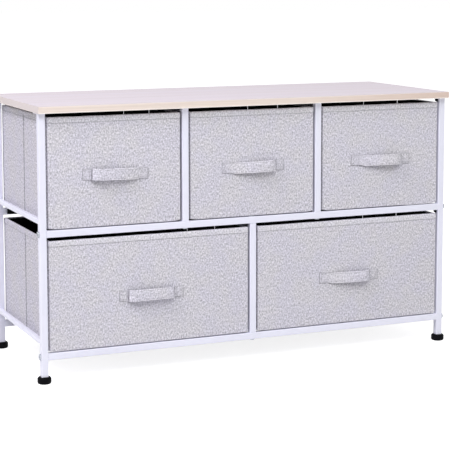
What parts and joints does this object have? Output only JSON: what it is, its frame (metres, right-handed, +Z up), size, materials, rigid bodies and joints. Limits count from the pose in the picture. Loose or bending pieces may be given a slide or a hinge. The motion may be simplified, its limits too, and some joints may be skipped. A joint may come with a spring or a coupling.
{
  "type": "fabric drawer dresser",
  "caption": "Low dresser with a square-tube steel frame, a light wood board on top and folding fabric drawers with strap handles.",
  "frame": {"origin": "on the floor, under the middle of the top board", "axes": "+X to the right seen from the front, +Y to the rear, +Z up"},
  "size_m": [1.004, 0.385, 0.595],
  "materials": {
    "board": "light oak melamine, satin",
    "frame_paint": "white powder coat, satin",
    "cup": "moulded, matte",
    "plug": "moulded, matte",
    "zinc": "zinc plated",
    "cover_fabric": "pale grey mottled non-woven",
    "handle_strap": "pale grey mottled non-woven, folded and sewn",
    "lining": "black spunbond",
    "fibre_board": "bare fibre board",
    "card": "grey card"
  },
  "bodies": {
    "frame": {"board_screws": "zinc", "board_tabs": "frame_paint", "divider_bolts": "zinc", "divider_plugs": "plug", "floor_cups": "cup", "frame_bolts": "zinc", "front_bottom_rail": "frame_paint", "front_left_post": "frame_paint", "front_lower_divider": "frame_paint", "front_middle_rail": "frame_paint", "front_right_post": "frame_paint", "front_upper_left_divider": "frame_paint", "front_upper_right_divider": "frame_paint", "left_bottom_side_rail": "frame_paint", "left_middle_side_rail": "frame_paint", "lower_guide_rail": "frame_paint", "rail_plugs": "plug", "rear_bottom_rail": "frame_paint", "rear_left_post": "frame_paint", "rear_lower_divider": "frame_paint", "rear_middle_rail": "frame_paint", "rear_right_post": "frame_paint", "rear_upper_left_divider": "frame_paint", "rear_upper_right_divider": "frame_paint", "right_bottom_side_rail": "frame_paint", "right_middle_side_rail": "frame_paint", "top_board": "board", "upper_left_guide_rail": "frame_paint", "upper_right_guide_rail": "frame_paint"},
    "top_left_drawer": {"top_left_cover": "cover_fabric", "top_left_lining": "lining", "top_left_front_board": "fibre_board", "top_left_wall_boards": "card", "top_left_base_board": "fibre_board", "top_left_handle": "handle_strap"},
    "top_middle_drawer": {"top_middle_cover": "cover_fabric", "top_middle_lining": "lining", "top_middle_front_board": "fibre_board", "top_middle_wall_boards": "card", "top_middle_base_board": "fibre_board", "top_middle_handle": "handle_strap"},
    "top_right_drawer": {"top_right_cover": "cover_fabric", "top_right_lining": "lining", "top_right_front_board": "fibre_board", "top_right_wall_boards": "card", "top_right_base_board": "fibre_board", "top_right_handle": "handle_strap"},
    "bottom_left_drawer": {"bottom_left_cover": "cover_fabric", "bottom_left_lining": "lining", "bottom_left_front_board": "fibre_board", "bottom_left_wall_boards": "card", "bottom_left_base_board": "fibre_board", "bottom_left_handle": "handle_strap"},
    "bottom_right_drawer": {"bottom_right_cover": "cover_fabric", "bottom_right_lining": "lining", "bottom_right_front_board": "fibre_board", "bottom_right_wall_boards": "card", "bottom_right_base_board": "fibre_board", "bottom_right_handle": "handle_strap"}
  },
  "joints": [
    {"name": "top_left_slide", "type": "slide", "parent": "frame", "child": "top_left_drawer", "axis": [0, -1, 0], "range_m": [0, 0.24]},
    {"name": "top_middle_slide", "type": "slide", "parent": "frame", "child": "top_middle_drawer", "axis": [0, -1, 0], "range_m": [0, 0.24]},
    {"name": "top_right_slide", "type": "slide", "parent": "frame", "child": "top_right_drawer", "axis": [0, -1, 0], "range_m": [0, 0.24]},
    {"name": "bottom_left_slide", "type": "slide", "parent": "frame", "child": "bottom_left_drawer", "axis": [0, -1, 0], "range_m": [0, 0.24]},
    {"name": "bottom_right_slide", "type": "slide", "parent": "frame", "child": "bottom_right_drawer", "axis": [0, -1, 0], "range_m": [0, 0.24]}
  ]
}
